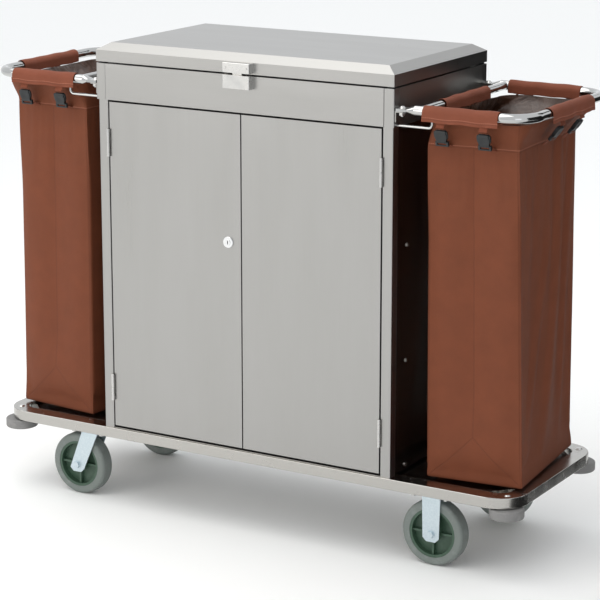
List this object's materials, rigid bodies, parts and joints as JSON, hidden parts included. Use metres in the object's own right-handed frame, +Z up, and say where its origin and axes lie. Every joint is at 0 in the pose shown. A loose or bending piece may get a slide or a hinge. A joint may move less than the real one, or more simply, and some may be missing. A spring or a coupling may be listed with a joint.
{
  "type": "housekeeping cart",
  "caption": "Steel linen cart: two-door cabinet with shelves and a lidded top tray on a bumper-ring base, with fabric bags hung from a tube hoop at both ends.",
  "frame": {"origin": "on the floor under the middle of the cart", "axes": "+X to the right along the length, the doors face -Y, +Z up"},
  "size_m": [1.4048, 0.47, 1.106],
  "materials": {
    "brushed_stainless": "brushed",
    "polished_stainless": "polished",
    "bright_fasteners": "bright",
    "zinc_plated": "zinc plated",
    "chrome_lock": "polished",
    "tyre_rubber": "satin",
    "hub_plastic": "satin",
    "roller_rubber": "matt",
    "black_rubber": "matt",
    "bag_fabric": "woven nylon, coated inside",
    "buckle_plastic": "moulded"
  },
  "bodies": {
    "root": {"base_ring": "polished_stainless", "caster_rails": "brushed_stainless", "deck_pans": "brushed_stainless", "cabinet_floor": "brushed_stainless", "corner_posts": "brushed_stainless", "side_panels": "brushed_stainless", "back_panel": "brushed_stainless", "shelves": "brushed_stainless", "panel_screws": "bright_fasteners", "tray_corners": "brushed_stainless", "tray_front_panel": "brushed_stainless", "tray_back_panel": "brushed_stainless", "tray_side_panels": "brushed_stainless", "tray_floor": "brushed_stainless", "lid_pads": "black_rubber", "latch_case": "brushed_stainless", "left_hoop": "polished_stainless", "right_hoop": "polished_stainless", "hoop_crossbars": "polished_stainless", "arm_brackets": "brushed_stainless", "arm_bolts": "bright_fasteners", "wire_stays": "polished_stainless", "left_bag": "bag_fabric", "right_bag": "bag_fabric", "bag_sleeves": "bag_fabric", "bag_buckles": "buckle_plastic", "door_hinge_bases": "brushed_stainless", "lid_hinge_base": "brushed_stainless", "rigid_forks": "zinc_plated", "rigid_axles": "zinc_plated", "swivel_plates": "zinc_plated", "caster_bolts": "zinc_plated", "roller_bolts": "bright_fasteners"},
    "lid": {"lid_shell": "brushed_stainless", "lid_liner": "brushed_stainless", "lid_hinge_leaf": "brushed_stainless", "latch_pull": "brushed_stainless"},
    "left_door": {"left_door_skin": "brushed_stainless", "left_door_liner": "brushed_stainless", "left_door_hinges": "brushed_stainless", "lock_housing": "chrome_lock"},
    "right_door": {"right_door_skin": "brushed_stainless", "right_door_liner": "brushed_stainless", "right_door_hinges": "brushed_stainless"},
    "door_lock": {"lock_plug": "chrome_lock", "lock_cam": "zinc_plated"},
    "front_swivel": {"front_swivel_fork": "zinc_plated"},
    "rear_swivel": {"rear_swivel_fork": "zinc_plated"},
    "front_rigid_wheel": {"front_rigid_tyre": "tyre_rubber", "front_rigid_hub": "hub_plastic"},
    "rear_rigid_wheel": {"rear_rigid_tyre": "tyre_rubber", "rear_rigid_hub": "hub_plastic"},
    "front_swivel_wheel": {"front_swivel_tyre": "tyre_rubber", "front_swivel_hub": "hub_plastic"},
    "rear_swivel_wheel": {"rear_swivel_tyre": "tyre_rubber", "rear_swivel_hub": "hub_plastic"},
    "front_left_roller": {"front_left_roller": "roller_rubber"},
    "front_right_roller": {"front_right_roller": "roller_rubber"},
    "rear_left_roller": {"rear_left_roller": "roller_rubber"},
    "rear_right_roller": {"rear_right_roller": "roller_rubber"}
  },
  "joints": [
    {"name": "lid_hinge", "type": "hinge", "parent": "root", "child": "lid", "pos_m": [0, 0.2264, 1.062], "axis": [-1, 0, 0], "range_deg": [0, 100]},
    {"name": "left_door_hinge", "type": "hinge", "parent": "root", "child": "left_door", "pos_m": [-0.356, -0.223, 0.5865], "axis": [0, 0, -1], "range_deg": [0, 165]},
    {"name": "right_door_hinge", "type": "hinge", "parent": "root", "child": "right_door", "pos_m": [0.356, -0.223, 0.5865], "axis": [0, 0, 1], "range_deg": [0, 165]},
    {"name": "lock_turn", "type": "hinge", "parent": "left_door", "child": "door_lock", "pos_m": [-0.034, -0.21, 0.68], "axis": [0, 1, 0], "range_deg": [0, 90]},
    {"name": "front_swivel_turn", "type": "hinge", "parent": "root", "child": "front_swivel", "pos_m": [-0.447, -0.172, 0.16], "axis": [0, 0, 1], "continuous": true},
    {"name": "front_swivel_roll", "type": "hinge", "parent": "front_swivel", "child": "front_swivel_wheel", "pos_m": [-0.485, -0.172, 0.075], "axis": [0, 1, 0], "continuous": true},
    {"name": "front_rigid_roll", "type": "hinge", "parent": "root", "child": "front_rigid_wheel", "pos_m": [0.474, -0.172, 0.075], "axis": [0, 1, 0], "continuous": true},
    {"name": "rear_swivel_turn", "type": "hinge", "parent": "root", "child": "rear_swivel", "pos_m": [-0.447, 0.172, 0.16], "axis": [0, 0, 1], "continuous": true},
    {"name": "rear_swivel_roll", "type": "hinge", "parent": "rear_swivel", "child": "rear_swivel_wheel", "pos_m": [-0.485, 0.172, 0.075], "axis": [0, 1, 0], "continuous": true},
    {"name": "rear_rigid_roll", "type": "hinge", "parent": "root", "child": "rear_rigid_wheel", "pos_m": [0.474, 0.172, 0.075], "axis": [0, 1, 0], "continuous": true},
    {"name": "front_left_roller_turn", "type": "hinge", "parent": "root", "child": "front_left_roller", "pos_m": [-0.65365, -0.18965, 0.156], "axis": [0, 0, 1], "continuous": true},
    {"name": "front_right_roller_turn", "type": "hinge", "parent": "root", "child": "front_right_roller", "pos_m": [0.65365, -0.18965, 0.156], "axis": [0, 0, 1], "continuous": true},
    {"name": "rear_left_roller_turn", "type": "hinge", "parent": "root", "child": "rear_left_roller", "pos_m": [-0.65365, 0.18965, 0.156], "axis": [0, 0, 1], "continuous": true},
    {"name": "rear_right_roller_turn", "type": "hinge", "parent": "root", "child": "rear_right_roller", "pos_m": [0.65365, 0.18965, 0.156], "axis": [0, 0, 1], "continuous": true}
  ]
}
